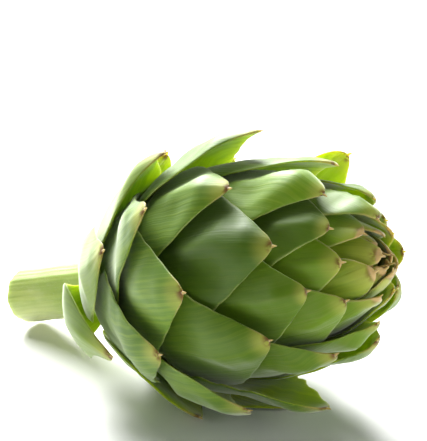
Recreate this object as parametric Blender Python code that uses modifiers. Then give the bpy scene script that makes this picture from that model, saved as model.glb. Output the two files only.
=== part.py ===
import math
import random

import bmesh
import bpy
from mathutils import Vector

# Globe artichoke lying on its side. Metres, +Z up, the head points to +X with its tip raised.
# Head coordinates: s along the axis from the stem joint, r out from it, turn round it from the top.

HEAD_LENGTH = 0.127
HEAD_TILT = math.radians(19.7)
HEAD_SHAPE = ((0.0, 0.013), (0.006, 0.029), (0.016, 0.0356), (0.032, 0.0427), (0.050, 0.048), (0.070, 0.0455),
              (0.089, 0.0385), (0.104, 0.031), (0.117, 0.019), (0.123, 0.0115), (0.127, 0.002))

# The bracts sit on one spiral, counted from the outermost, and close up towards the tip.
BRACT_TURN = math.radians(137.508)
FIRST_TURN = math.radians(103.1)
FIRST_TIP = 0.0228
SPIRAL_END = 53.9
SPIRAL_POWER = 2.5
SEPARATE_BRACTS = 42
BUD_BRACTS = 12
LAYER_STEP = 0.000635
GAP = 0.00035

# Half widths by number in the spiral, and the sizes of a blade.
BRACT_WIDTH = ((0, 0.0145), (4, 0.0212), (9, 0.0265), (20, 0.027), (30, 0.022), (41, 0.0145), (54, 0.0075))
TIP_TAPER = 1.36
ROOT_SHARE = 0.55
WIDEST_ANGLE = math.radians(38.0)
ROOT_THICKNESS = 0.0020
MIDDLE_THICKNESS = 0.0017
TIP_THICKNESS = 0.0013
EDGE_SHARE = 0.46
SPINE_LENGTH = 0.0016
SPINE_THICKNESS = 0.0009
SHOULDER = 0.0011
DOME = ((0, 0.0016), (12, 0.0024), (20, 0.0036), (30, 0.0048), (41, 0.0038), (54, 0.0014))
KEEL = 0.00030

# Single bracts that stand off, sit lower or turn away from the spiral, as on the real head.
# Bracts 3, 6 and 11 carry the weight, so their lifts bring them down to one level.
TIP_LIFT = {1: 0.0010, 3: 0.0, 4: 0.0016, 6: 0.0028, 7: 0.0030, 9: 0.0042, 10: 0.0008, 11: 0.0058, 12: 0.0077,
            14: 0.0098, 15: 0.0072, 17: 0.0078, 18: 0.0130, 19: 0.0135, 20: 0.0026, 22: 0.0022, 23: 0.0028,
            24: 0.0019, 26: 0.0020, 27: 0.0042, 29: 0.0004, 31: 0.0024, 34: 0.0030, 36: 0.0022}
TIP_SHIFT = {1: 0.0045, 4: 0.0032, 7: 0.0030, 9: 0.0023, 10: -0.0160, 12: -0.0078, 14: 0.0015, 15: 0.0010,
             17: -0.0080, 18: -0.0040, 19: 0.0, 20: -0.0075, 22: -0.0015, 23: 0.0020, 24: 0.0030, 28: 0.0015,
             29: 0.0027, 30: -0.0014, 35: -0.0007, 36: 0.0026, 38: -0.0013}
EXTRA_TURN = {1: 10.5, 4: 6.9, 9: -3.9, 14: -5.0, 17: -0.7, 18: -2.4, 20: -3.0, 22: -1.5, 25: -1.2, 28: -5.0,
              35: 6.5}

# Single bracts whose middle bulges, lies aside of the tip by an angle, is narrower, flatter or lifts faster.
BULGE = {1: 0.0050, 4: 0.0014}
SIDE_TURN = {1: 16.0, 4: -6.0, 7: -6.0, 12: -5.5, 15: -6.0, 18: 9.0, 20: -3.5, 23: -6.0, 24: -5.0, 29: -4.0}
NARROWED = {1: 0.78, 4: 0.82, 10: 0.80, 12: 0.90, 16: 0.85, 18: 0.74, 20: 0.92, 24: 0.85, 29: 0.88}
FLATTENED = {3: 0.3, 6: 0.3, 11: 0.2, 18: 0.3, 23: 0.3}
STEEPER = {18: 0.60, 19: 0.45}

# Stem with the heart that it widens into: length and radius of each station of the turned shape.
STEM_RADIUS = 0.0100
STEM_LENGTH = 0.048
RIB_COUNT = 9
RIB_HEIGHT = 0.00045
HEART_SHAPE = ((-0.006, 0.0101), (-0.001, 0.0106), (0.002, 0.0120), (0.005, 0.0150), (0.009, 0.0192),
               (0.014, 0.0232), (0.020, 0.0255), (0.024, 0.0245), (0.0262, 0.0205), (0.0268, 0.0120))
CORE_NUMBERS = (46.0, 53.0)
BUD_SINK = 0.0035

# Room that a blade has to lift under the blades three, five and eight places outside it.
COVER_ROOM = {3: 0.0, 5: 0.0007, 8: 0.0016}
FREE_REACH = 0.21
FREE_SLOPE = 0.30
LIFT_SAMPLES = 260
COVER_REACH = 21
BARE_MARGIN = 0.0032
BARE_LENGTH = 0.014
SIDE_LENGTH = 0.016
TIP_STRAIGHTNESS = 0.76

# The lowest blades are flat where they touch the surface.
CONTACT_DEPTH = 0.0007


def clear_scene():
    for thing in list(bpy.data.objects):
        bpy.data.objects.remove(thing, do_unlink=True)


def through(points, x):
    """Smooth curve through the points that never overshoots them."""
    xs = [p[0] for p in points]
    ys = [p[1] for p in points]
    slopes = [(ys[k + 1] - ys[k]) / (xs[k + 1] - xs[k]) for k in range(len(xs) - 1)]
    tangents = [slopes[0]]
    for a, b in zip(slopes, slopes[1:]):
        tangents.append(0.0 if a * b <= 0 else 2 * a * b / (a + b))
    tangents.append(slopes[-1])
    x = min(max(x, xs[0]), xs[-1])
    k = 0
    while k < len(slopes) - 1 and x > xs[k + 1]:
        k += 1
    h = xs[k + 1] - xs[k]
    t = (x - xs[k]) / h
    return ((2 * t ** 3 - 3 * t ** 2 + 1) * ys[k] + (t ** 3 - 2 * t ** 2 + t) * h * tangents[k]
            + (3 * t ** 2 - 2 * t ** 3) * ys[k + 1] + (t ** 3 - t ** 2) * h * tangents[k + 1])


def head_outline(steps=520):
    """Points and outward normals of the head's outline from the stem to the tip, evenly spaced."""
    raw = []
    for k in range(steps + 1):
        s = HEAD_LENGTH * k / steps
        raw.append(Vector((s, through(HEAD_SHAPE, s))))
    lengths = [0.0]
    for a, b in zip(raw, raw[1:]):
        lengths.append(lengths[-1] + (b - a).length)
    total = lengths[-1]
    points = []
    k = 0
    for j in range(steps + 1):
        goal = total * j / steps
        while k < steps - 1 and lengths[k + 1] < goal:
            k += 1
        f = (goal - lengths[k]) / (lengths[k + 1] - lengths[k])
        points.append(raw[k].lerp(raw[k + 1], f))
    normals = []
    reach = 12
    for j in range(steps + 1):
        a = points[max(j - reach, 0)]
        b = points[min(j + reach, steps)]
        along = (b - a).normalized()
        normals.append(Vector((-along.y, along.x)))
    return points, normals, total


OUTLINE, NORMALS, OUTLINE_LENGTH = head_outline()


def on_outline(distance):
    """Point and normal of the outline at a distance along it."""
    f = min(max(distance / OUTLINE_LENGTH, 0.0), 1.0) * (len(OUTLINE) - 1)
    k = min(int(f), len(OUTLINE) - 2)
    return OUTLINE[k].lerp(OUTLINE[k + 1], f - k), NORMALS[k].lerp(NORMALS[k + 1], f - k)


def outline_distance(s):
    """Distance along the outline at a height on the axis."""
    for k, point in enumerate(OUTLINE):
        if point.x >= s:
            return OUTLINE_LENGTH * k / (len(OUTLINE) - 1)
    return OUTLINE_LENGTH


def tip_height(number):
    share = max(1.0 - number / SPIRAL_END, 0.0)
    return HEAD_LENGTH - (HEAD_LENGTH - FIRST_TIP) * share ** SPIRAL_POWER


def number_at(s):
    """Number of the bract whose tip is at this height."""
    share = (HEAD_LENGTH - s) / (HEAD_LENGTH - FIRST_TIP)
    return SPIRAL_END * (1.0 - max(share, 0.0) ** (1.0 / SPIRAL_POWER))


def layer_point(number, distance, inset):
    """Point of the layer of one bract: the outline moved in by one step a bract above it."""
    point, normal = on_outline(distance)
    depth = LAYER_STEP * max(number - number_at(point.x), 0.0) + inset
    return point - normal * depth, normal


def heart_distance(point):
    """Distance from the heart's surface, negative inside it."""
    best = 1.0
    corners = [Vector(p) for p in HEART_SHAPE] + [Vector((HEART_SHAPE[-1][0], 0.0))]
    for a, b in zip(corners, corners[1:]):
        edge = b - a
        f = min(max((point - a).dot(edge) / edge.length_squared, 0.0), 1.0)
        best = min(best, (point - a - edge * f).length)
    inside = HEART_SHAPE[0][0] < point.x < HEART_SHAPE[-1][0] and point.y < through(HEART_SHAPE, point.x)
    return -best if inside else best


def to_world(s, r, turn):
    """Head coordinates to metres with the head lying on its side."""
    up = r * math.cos(turn)
    along = s - HEAD_LENGTH / 2
    return Vector((along * math.cos(HEAD_TILT) - up * math.sin(HEAD_TILT), r * math.sin(turn),
                   along * math.sin(HEAD_TILT) + up * math.cos(HEAD_TILT)))


def blade_sizes(number):
    """Where one blade starts and ends, its turn and half width, and its own chances."""
    chance = random.Random(7100 + number)
    tip = tip_height(number) + TIP_SHIFT.get(number, chance.uniform(-0.001, 0.001))
    tip = min(tip, HEAD_LENGTH - 0.0002)
    turn = FIRST_TURN + BRACT_TURN * number + math.radians(EXTRA_TURN.get(number, chance.uniform(-1.5, 1.5)))
    width = through(BRACT_WIDTH, number) * chance.uniform(0.97, 1.03) * NARROWED.get(number, 1.0)
    end = outline_distance(tip)
    start = end
    while start > 0.0:
        point, _ = layer_point(number, start, ROOT_THICKNESS / 2)
        if heart_distance(point) < ROOT_THICKNESS / 2 + GAP:
            break
        start -= 0.0004
    return start + 0.0004, end, turn, width, chance


def lift_tables():
    """Lift of every blade along the outline, held down where the blades outside it cover it."""
    tables = []
    for number in range(SEPARATE_BRACTS + BUD_BRACTS):
        start, end, _, _, chance = blade_sizes(number)
        usual = chance.uniform(0.0004, 0.0016) if number > 19 else chance.uniform(0.002, 0.005)
        lift = TIP_LIFT.get(number, usual)
        table = []
        for k in range(LIFT_SAMPLES + 1):
            d = OUTLINE_LENGTH * k / LIFT_SAMPLES
            opening = min(max(((d - start) / (end - start) - 0.4) / 0.6, 0.0), 1.0)
            value = lift * opening ** 2
            for step, room in COVER_ROOM.items():
                if number >= step:
                    radius = on_outline(tables[number - step][1])[0].y
                    past = max(d - tables[number - step][1] + FREE_REACH * radius, 0.0)
                    slope = STEEPER.get(number, FREE_SLOPE)
                    value = min(value, tables[number - step][0][k] + room + slope * past)
            table.append(value)
        tables.append((table, end))
    return tables


def lift_at(number, distance):
    f = min(max(distance / OUTLINE_LENGTH, 0.0), 1.0) * LIFT_SAMPLES
    k = min(int(f), LIFT_SAMPLES - 1)
    table = LIFTS[number][0]
    return table[k] * (k + 1 - f) + table[k + 1] * (f - k)


def side_lean(number, from_tip):
    """Angle by which the middle of a blade lies to one side of its tip."""
    ease = min(from_tip / SIDE_LENGTH, 1.0)
    return math.radians(SIDE_TURN.get(number, 0.0)) * ease * ease * (3.0 - 2.0 * ease)


def bare_share(number, distance, turn):
    """How clear a spot of one blade is of the blades over it: 0 under them, 1 well away from them."""
    radius = on_outline(distance)[0].y
    clear = BARE_MARGIN + BARE_LENGTH
    for other in range(max(number - COVER_REACH, 0), number):
        start, end, middle, width, _ = SIZES[other]
        along = max(distance - end, 0.0)
        aside = turn - middle - side_lean(other, max(end - distance, 0.0))
        across = abs(math.remainder(aside, math.tau)) * radius
        if along == 0.0:
            across -= min(half_width(end - distance, end - start, width), WIDEST_ANGLE * radius)
        clear = min(clear, math.hypot(along, max(across, 0.0)))
    share = max(clear - BARE_MARGIN, 0.0) / BARE_LENGTH
    return share * share * (3.0 - 2.0 * share)


def half_width(from_tip, length, width):
    taper = min(TIP_TAPER * width, 0.62 * length)
    if from_tip < SPINE_LENGTH:
        return 0.0005 + 0.0004 * from_tip / SPINE_LENGTH
    if from_tip < taper:
        share = (from_tip - 0.3 * SPINE_LENGTH) / (taper - 0.3 * SPINE_LENGTH)
        swell = TIP_STRAIGHTNESS * share + (1.0 - TIP_STRAIGHTNESS) * math.sin(share * math.pi / 2)
        return width * swell + SHOULDER * (1.0 - share)
    back = (from_tip - taper) / max(length - taper, 1e-6)
    return width * (1.0 - (1.0 - ROOT_SHARE) * back ** 1.4)


def blade_rows(length, width):
    """Distances from the tip of the rows of a blade, close together at the spine."""
    taper = min(TIP_TAPER * width, 0.62 * length)
    rows = [0.0, SPINE_LENGTH * 0.97, SPINE_LENGTH + 0.0010]
    rows += [taper * f for f in (0.22, 0.42, 0.68, 1.0)]
    rows += [taper + (length - taper) * f for f in (0.24, 0.48, 0.74, 1.0)]
    return rows


SIZES = [blade_sizes(number) for number in range(SEPARATE_BRACTS + BUD_BRACTS)]
LIFTS = lift_tables()


def blade_mesh(name, number, columns, sink):
    """Middle surface of one bract, thickened by a modifier with a weight for each point."""
    start, end, turn, width, chance = blade_sizes(number)
    length = end - start
    wave = chance.uniform(0.0, math.tau)
    lean = chance.uniform(-0.0005, 0.0005)
    dome = through(DOME, number) * FLATTENED.get(number, 1.0)
    bulge = BULGE.get(number, 0.0)
    mesh = bpy.data.meshes.new(name)
    bm = bmesh.new()
    grid = []
    weights = []
    for from_tip in blade_rows(length, width):
        u = 1.0 - from_tip / length
        raised = lift_at(number, end - from_tip) + bulge * math.sin(u * math.pi) ** 2
        middle = through(((0.0, ROOT_THICKNESS), (0.5, MIDDLE_THICKNESS), (1.0, TIP_THICKNESS)), u)
        row = []
        for c in range(columns + 1):
            v = -1.0 + 2.0 * c / columns
            thickness = middle * (1.0 - (1.0 - EDGE_SHARE) * v * v)
            if from_tip < SPINE_LENGTH:
                thickness = SPINE_THICKNESS
            point, normal = layer_point(number, end - from_tip, middle / 2)
            angle = min(half_width(from_tip, length, width) / max(point.y, 0.001), WIDEST_ANGLE)
            aside = turn + side_lean(number, from_tip) + angle * v
            bare = bare_share(number, end - from_tip, aside)
            free = bare * min(max(from_tip - SPINE_LENGTH, 0.0) / 0.010, 1.0)
            raise_by = raised - sink * (1.0 - u) ** 2
            raise_by += dome * (1.0 - v * v) * free
            raise_by += KEEL * max(1.0 - abs(v) * 3.0, 0.0) * free
            raise_by += 0.00025 * math.sin(wave + 5.0 * u) * v * v * free + lean * v * free
            point = point + normal * raise_by
            row.append(bm.verts.new(to_world(point.x, point.y, aside)))
            weights.append(thickness / ROOT_THICKNESS)
        grid.append(row)
    for r in range(len(grid) - 1):
        for c in range(columns):
            a, b = grid[r][c], grid[r][c + 1]
            d, e = grid[r + 1][c], grid[r + 1][c + 1]
            if (c < columns / 2) == (r > 2):
                bm.faces.new((a, d, e))
                bm.faces.new((a, e, b))
            else:
                bm.faces.new((a, d, b))
                bm.faces.new((b, d, e))
    bm.normal_update()
    bm.to_mesh(mesh)
    bm.free()
    return mesh, weights


def make_material(name, colour, roughness):
    material = bpy.data.materials.new(name)
    material.use_nodes = True
    shader = material.node_tree.nodes["Principled BSDF"]
    shader.inputs["Base Color"].default_value = (colour[0], colour[1], colour[2], 1.0)
    shader.inputs["Roughness"].default_value = roughness
    shader.inputs["Metallic"].default_value = 0.0
    return material


def add_object(name, mesh, material, collection):
    thing = bpy.data.objects.new(name, mesh)
    collection.objects.link(thing)
    mesh.materials.clear()
    mesh.materials.append(material)
    return thing


def apply_modifiers(thing):
    """Bake the modifiers of an object into its mesh."""
    graph = bpy.context.evaluated_depsgraph_get()
    baked = bpy.data.meshes.new_from_object(thing.evaluated_get(graph))
    old = thing.data
    thing.modifiers.clear()
    thing.data = baked
    baked.name = thing.name
    bpy.data.meshes.remove(old)


def add_blade(name, number, columns, material, collection, sink=0.0):
    mesh, weights = blade_mesh(name, number, columns, sink)
    blade = add_object(name, mesh, material, collection)
    group = blade.vertex_groups.new(name="thickness")
    for k, weight in enumerate(weights):
        group.add([k], min(weight, 1.0), "REPLACE")
    solid = blade.modifiers.new("blade_thickness", "SOLIDIFY")
    solid.thickness = ROOT_THICKNESS
    solid.offset = 0.0
    solid.use_rim = True
    solid.use_even_offset = False
    solid.vertex_group = "thickness"
    bpy.context.view_layer.update()
    apply_modifiers(blade)
    blade.vertex_groups.clear()
    face_outwards(blade.data)
    return blade


def face_outwards(mesh):
    bm = bmesh.new()
    bm.from_mesh(mesh)
    bmesh.ops.recalc_face_normals(bm, faces=bm.faces)
    bm.to_mesh(mesh)
    bm.free()


def turned(name, stations, steps, material, collection):
    """Solid turned round the head's axis from stations of height and radius, closed at both ends."""
    mesh = bpy.data.meshes.new(name)
    bm = bmesh.new()
    corners = [Vector((0.0, 0.0, stations[0][0]))]
    corners += [Vector((r, 0.0, s)) for s, r in stations]
    corners.append(Vector((0.0, 0.0, stations[-1][0])))
    made = [bm.verts.new(p) for p in reversed(corners)]
    for a, b in zip(made, made[1:]):
        bm.edges.new((a, b))
    bm.to_mesh(mesh)
    bm.free()
    thing = add_object(name, mesh, material, collection)
    screw = thing.modifiers.new("turned_shape", "SCREW")
    screw.axis = "Z"
    screw.steps = steps
    screw.render_steps = steps
    screw.use_merge_vertices = True
    screw.merge_threshold = 0.00005
    bpy.context.view_layer.update()
    apply_modifiers(thing)
    return thing


def stem_and_heart(material, collection):
    """Cut stem with soft ribs, and the heart that carries the bracts, as one solid."""
    end = -STEM_LENGTH
    stations = [(end, STEM_RADIUS - 0.0012), (end + 0.0003, STEM_RADIUS - 0.0003)]
    stations += [(end + 0.0012, STEM_RADIUS)]
    stations += [(end + 0.010, STEM_RADIUS + 0.0002), (end + 0.022, STEM_RADIUS), (end + 0.033, STEM_RADIUS)]
    stations += list(HEART_SHAPE)
    thing = turned("stem_and_heart", stations, 45, material, collection)
    for vertex in thing.data.vertices:
        x, y, s = vertex.co
        r = math.hypot(x, y)
        turn = math.atan2(y, x)
        if s < 0.0 and r > 0.004:
            share = min(-s / 0.012, 1.0)
            r += RIB_HEIGHT * share * (0.7 * math.cos(RIB_COUNT * turn) + 0.5 * math.cos(4 * turn + 1.0))
        bend = 0.0012 * (min(s, 0.0) / STEM_LENGTH) ** 2
        side = Vector((0.0, -1.0, 0.0)) * bend
        vertex.co = to_world(s, r, turn) + side
        if s <= end + 1e-6 and r < 0.004:
            vertex.co += (to_world(0.001, 0.0, 0.0) - to_world(0.0, 0.0, 0.0)) * 0.6
    face_outwards(thing.data)
    return thing


def inner_bud(material, collection):
    """Closed bud in the middle: a turned core with the innermost bracts fused to it."""
    stations = []
    first = HEART_SHAPE[-1][0] + GAP
    distance = outline_distance(HEAD_LENGTH - 0.0016)
    spots = 15
    lowest = 0.030
    for k in range(spots + 1):
        d = lowest + (distance - lowest) * k / spots
        number = CORE_NUMBERS[0] + (CORE_NUMBERS[1] - CORE_NUMBERS[0]) * (k / spots) ** 3
        point, _ = layer_point(number, d, 0.0009)
        if point.x > first + 0.002 and point.y > 0.0015:
            stations.append((point.x, point.y))
    stations.sort()
    stations.insert(0, (first, stations[0][1] - 0.0012))
    core = turned("inner_bud", stations, 28, material, collection)
    for vertex in core.data.vertices:
        x, y, s = vertex.co
        vertex.co = to_world(s, math.hypot(x, y), math.atan2(y, x))
    face_outwards(core.data)
    cutters = bpy.data.collections.new("bud_bracts")
    bpy.context.scene.collection.children.link(cutters)
    for k in range(BUD_BRACTS):
        add_blade("bud_bract_%02d" % (k + 1), SEPARATE_BRACTS + k, 4, material, cutters, BUD_SINK)
    for blade in cutters.objects:
        blade.hide_render = True
        blade.display_type = "WIRE"
    union = core.modifiers.new("fused_bracts", "BOOLEAN")
    union.operation = "UNION"
    union.operand_type = "COLLECTION"
    union.collection = cutters
    union.solver = "MANIFOLD"
    bpy.context.view_layer.update()
    apply_modifiers(core)
    for blade in list(cutters.objects):
        bpy.data.objects.remove(blade, do_unlink=True)
    bpy.data.collections.remove(cutters)
    keep_largest_piece(core.data)
    face_outwards(core.data)
    return core


def keep_largest_piece(mesh):
    """Drop the flakes and closed pockets that a union leaves inside the solid."""
    bm = bmesh.new()
    bm.from_mesh(mesh)
    left = set(bm.faces)
    pieces = []
    while left:
        seed = left.pop()
        piece = [seed]
        queue = [seed]
        while queue:
            for edge in queue.pop().edges:
                for face in edge.link_faces:
                    if face in left and len(edge.link_faces) == 2:
                        left.remove(face)
                        piece.append(face)
                        queue.append(face)
        pieces.append(piece)
    pieces.sort(key=len)
    for piece in pieces[:-1]:
        bmesh.ops.delete(bm, geom=piece, context="FACES")
    loose = [vertex for vertex in bm.verts if not vertex.link_faces]
    bmesh.ops.delete(bm, geom=loose, context="VERTS")
    bmesh.ops.triangulate(bm, faces=bm.faces)
    bm.to_mesh(mesh)
    bm.free()


def set_down(things):
    """Flatten the lowest blades where they touch, and put the middle of the box over the origin."""
    lows = sorted(min(v.co.z for v in thing.data.vertices) for thing in things)
    floor = lows[2] + CONTACT_DEPTH
    xs = []
    ys = []
    for thing in things:
        for vertex in thing.data.vertices:
            vertex.co.z = max(vertex.co.z, floor)
            xs.append(vertex.co.x)
            ys.append(vertex.co.y)
    shift = Vector(((min(xs) + max(xs)) / 2, (min(ys) + max(ys)) / 2, floor))
    for thing in things:
        for vertex in thing.data.vertices:
            vertex.co -= shift
        thing.data.update()


def build():
    clear_scene()
    parts = bpy.data.collections.new("artichoke")
    bpy.context.scene.collection.children.link(parts)
    stem_green = make_material("stem_green", (0.50, 0.56, 0.25), 0.62)
    outer_green = make_material("outer_bract_green", (0.30, 0.45, 0.16), 0.48)
    bract_green = make_material("bract_green", (0.27, 0.42, 0.13), 0.48)
    inner_green = make_material("inner_bract_green", (0.42, 0.50, 0.18), 0.50)
    things = [stem_and_heart(stem_green, parts)]
    for number in range(SEPARATE_BRACTS):
        material = outer_green if number < 8 else bract_green
        columns = 6 if number < 26 else 4
        things.append(add_blade("bract_%02d" % number, number, columns, material, parts))
    things.append(inner_bud(inner_green, parts))
    set_down(things)


build()
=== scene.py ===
import math
import random

import bpy
import numpy as np
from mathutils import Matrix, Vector


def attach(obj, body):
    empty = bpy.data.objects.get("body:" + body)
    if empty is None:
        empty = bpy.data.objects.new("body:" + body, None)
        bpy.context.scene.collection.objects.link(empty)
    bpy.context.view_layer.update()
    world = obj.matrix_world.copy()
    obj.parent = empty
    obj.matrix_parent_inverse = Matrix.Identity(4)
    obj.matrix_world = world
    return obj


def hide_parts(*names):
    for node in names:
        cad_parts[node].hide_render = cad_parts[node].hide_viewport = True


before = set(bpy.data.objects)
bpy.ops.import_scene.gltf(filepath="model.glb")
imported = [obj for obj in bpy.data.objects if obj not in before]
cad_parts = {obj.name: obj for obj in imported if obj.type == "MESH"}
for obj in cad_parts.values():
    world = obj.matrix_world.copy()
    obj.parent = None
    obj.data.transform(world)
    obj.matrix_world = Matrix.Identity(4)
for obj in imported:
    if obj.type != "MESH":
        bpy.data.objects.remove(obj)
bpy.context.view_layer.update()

# Stem and heart: the cut stem runs into the fleshy heart that carries every bract, all one piece. Its
# pale flesh has a thin skin with faint ribs, and it was cut square across with a knife, so that a ring
# of vessels shows in its end. It is turned round the head's own axis, in rings.
head_length = 0.127
head_tilt = math.radians(19.7)
head_middle = np.array((0.02349657, 0.00045267, 0.04768875))
heart_shape = ((-0.006, 0.0101), (-0.001, 0.0106), (0.002, 0.0120), (0.005, 0.0150), (0.009, 0.0192),
               (0.014, 0.0232), (0.020, 0.0255), (0.024, 0.0245), (0.0262, 0.0205), (0.0268, 0.0120))
heart_start = heart_shape[0][0]
heart_end = heart_shape[-1][0]
stem_end = -0.0479
stem_radius = 0.0100
pole_radius = 0.0002
cut_face = ((0.0002, pole_radius), (0.0002, 0.0030), (0.0001, 0.0060), (0.0, 0.0080),
            (0.0, stem_radius - 0.0011))
cut_edge = ((0.0003, stem_radius - 0.0004), (0.0010, stem_radius))
edge_depth = cut_edge[-1][0]
ring_step = 0.0019
ring_swell = 0.0001
swell_turn = 0.7
side_rings = 20
heart_rings = 26
heart_face = 0.0060
stem_columns = 180
rib_height = 0.00022
rib_fade = 0.012
ribbed_from = 0.004
rib_waves = ((9, 0.0, 0.70), (4, 1.0, 0.50), (23, 2.0, 0.25), (37, 0.0, 0.12))
bow_depth = 0.0012
bow_length = 0.048
map_start = 0.05
map_length = 0.08

streak_green = (0.25, 0.37, 0.025)
streak_pale = (0.42, 0.51, 0.090)
stem_blotch = (0.52, 0.59, 0.22)
# Paler colour of the stem's underside: painted light thrown up from the white floor, over a skin that is a
# little paler there.
painted_bounce_pale = (0.62, 0.67, 0.33)
stem_top = (0.20, 0.30, 0.045)
stem_at_head = (0.24, 0.37, 0.012)
pith_cream = (0.60, 0.64, 0.28)
pith_white = (0.68, 0.70, 0.38)
vessel_green = (0.36, 0.42, 0.10)
rim_green = (0.34, 0.44, 0.09)
blotch_share = 0.5
top_share = 0.55
at_head_share = 0.6
vessel_count = 28.0
vessel_ring_mm = 7.2
rim_mm = (8.3, 9.2)
stem_streaks = (46.0, 3.0, 1.0)
stem_bump = (0.16, 0.0005)


def through(points, x):
    """Smooth curve through the points that never overshoots them."""
    xs = np.array([point[0] for point in points], float)
    ys = np.array([point[1] for point in points], float)
    slopes = np.diff(ys) / np.diff(xs)
    before, after = slopes[:-1], slopes[1:]
    together = np.where(before + after == 0, 1.0, before + after)
    inner = np.where(before * after <= 0, 0.0, 2 * before * after / together)
    tangents = np.concatenate([slopes[:1], inner, slopes[-1:]])
    x = np.clip(x, xs[0], xs[-1])
    span = np.clip(np.searchsorted(xs, x) - 1, 0, len(slopes) - 1)
    step = xs[span + 1] - xs[span]
    t = (x - xs[span]) / step
    return ((2 * t ** 3 - 3 * t ** 2 + 1) * ys[span] + (t ** 3 - 2 * t ** 2 + t) * step * tangents[span]
            + (3 * t ** 2 - 2 * t ** 3) * ys[span + 1] + (t ** 3 - t ** 2) * step * tangents[span + 1])


def to_world(along, radius, turn):
    """Head coordinates to the shared frame, with the head lying on its side."""
    up = radius * np.cos(turn)
    past_middle = along - head_length / 2
    x = past_middle * math.cos(head_tilt) - up * math.sin(head_tilt)
    z = past_middle * math.sin(head_tilt) + up * math.cos(head_tilt)
    return np.stack([x, radius * np.sin(turn), z], -1) + head_middle


def tube_faces(rings, columns):
    """Faces between rings of points that follow each other along a tube."""
    index = np.arange(rings * columns).reshape(rings, columns)
    beside = np.roll(index, -1, axis=1)
    return np.stack([index[:-1], beside[:-1], beside[1:], index[1:]], -1).reshape(-1, 4)


def new_material(name):
    """A material, its node tree and its Principled shader."""
    material = bpy.data.materials.new(name)
    material.use_nodes = True
    return material, material.node_tree, material.node_tree.nodes["Principled BSDF"]


def value_of(tree, name):
    """A value that the mesh carries at its points."""
    node = tree.nodes.new("ShaderNodeAttribute")
    node.attribute_name = name
    return node.outputs["Fac"]


def object_place(tree):
    """The place of a spot on the piece, in metres."""
    return tree.nodes.new("ShaderNodeTexCoord").outputs["Object"]


def unrolled(tree, scale):
    """The piece's own map, and the same map stretched by the scale for lengthwise streaks."""
    uv = tree.nodes.new("ShaderNodeUVMap")
    uv.uv_map = "UVMap"
    stretch = tree.nodes.new("ShaderNodeMapping")
    stretch.inputs["Scale"].default_value = scale
    tree.links.new(uv.outputs["UV"], stretch.inputs["Vector"])
    return uv.outputs["UV"], stretch.outputs["Vector"]


def ramp(tree, source, low, high):
    """Rises smoothly from 0 to 1 while the source goes from low to high."""
    node = tree.nodes.new("ShaderNodeMapRange")
    node.interpolation_type = "SMOOTHSTEP"
    node.inputs["From Min"].default_value = low
    node.inputs["From Max"].default_value = high
    tree.links.new(source, node.inputs["Value"])
    return node.outputs["Result"]


def worked_out(tree, operation, first, second=0.0):
    """The result of one operation on numbers or sockets."""
    node = tree.nodes.new("ShaderNodeMath")
    node.operation = operation
    for socket, value in zip(node.inputs, (first, second)):
        if isinstance(value, (int, float)):
            socket.default_value = value
        else:
            tree.links.new(value, socket)
    return node.outputs[0]


def times(tree, first, second):
    return worked_out(tree, "MULTIPLY", first, second)


def plus(tree, first, second):
    return worked_out(tree, "ADD", first, second)


def less(tree, first, second):
    return worked_out(tree, "SUBTRACT", first, second)


def apart(tree, first, second):
    """How far two values are apart."""
    return worked_out(tree, "ABSOLUTE", less(tree, first, second))


def mixed(tree, share, under, over):
    """One colour over another, by a share from 0 to 1."""
    node = tree.nodes.new("ShaderNodeMix")
    node.data_type = "RGBA"
    tree.links.new(share, node.inputs["Factor"])
    for socket, colour in ((node.inputs["A"], under), (node.inputs["B"], over)):
        if isinstance(colour, tuple):
            socket.default_value = (*colour, 1.0)
        else:
            tree.links.new(colour, socket)
    return node.outputs["Result"]


def noise(tree, vector, scale, detail, distortion=0.0):
    """Soft random values from 0 to 1."""
    node = tree.nodes.new("ShaderNodeTexNoise")
    node.inputs["Scale"].default_value = scale
    node.inputs["Detail"].default_value = detail
    node.inputs["Distortion"].default_value = distortion
    tree.links.new(vector, node.inputs["Vector"])
    return node.outputs["Fac"]


def add_bump(tree, shader, height, strength, distance):
    """Raises the surface's shading by a height."""
    bump = tree.nodes.new("ShaderNodeBump")
    bump.inputs["Strength"].default_value = strength
    bump.inputs["Distance"].default_value = distance
    tree.links.new(height, bump.inputs["Height"])
    tree.links.new(bump.outputs["Normal"], shader.inputs["Normal"])


def make_piece(name, vertices, faces, uvs, values, materials, node):
    """Puts a closed mesh in the scene with its UVs and point values, and hands it to the frame."""
    mesh = bpy.data.meshes.new(name)
    mesh.from_pydata(vertices.tolist(), [], faces.tolist())
    mesh.update()
    layer = mesh.uv_layers.new(name="UVMap")
    corner = np.zeros(len(mesh.loops), np.int32)
    mesh.loops.foreach_get("vertex_index", corner)
    layer.data.foreach_set("uv", np.asarray(uvs, np.float32)[corner].ravel())
    for key, value in values.items():
        attribute = mesh.attributes.new(key, "FLOAT", "POINT")
        attribute.data.foreach_set("value", np.asarray(value, np.float32))
    mesh.shade_smooth()
    for material in materials:
        mesh.materials.append(material)
    if len(materials) > 1:
        inside = values["inside"][faces[:, 0]]
        mesh.polygons.foreach_set("material_index", (inside > 0.5).astype(np.int32))
    piece = bpy.data.objects.new(name, mesh)
    bpy.context.scene.collection.objects.link(piece)
    mesh.calc_loop_triangles()
    triangles = np.array([triangle.vertices for triangle in mesh.loop_triangles])
    p, q, r = vertices[triangles[:, 0]], vertices[triangles[:, 1]], vertices[triangles[:, 2]]
    volume = (np.cross(p, q) * r).sum()
    if volume < 0:
        mesh.flip_normals()
    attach(piece, "root")
    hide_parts(node)


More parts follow.
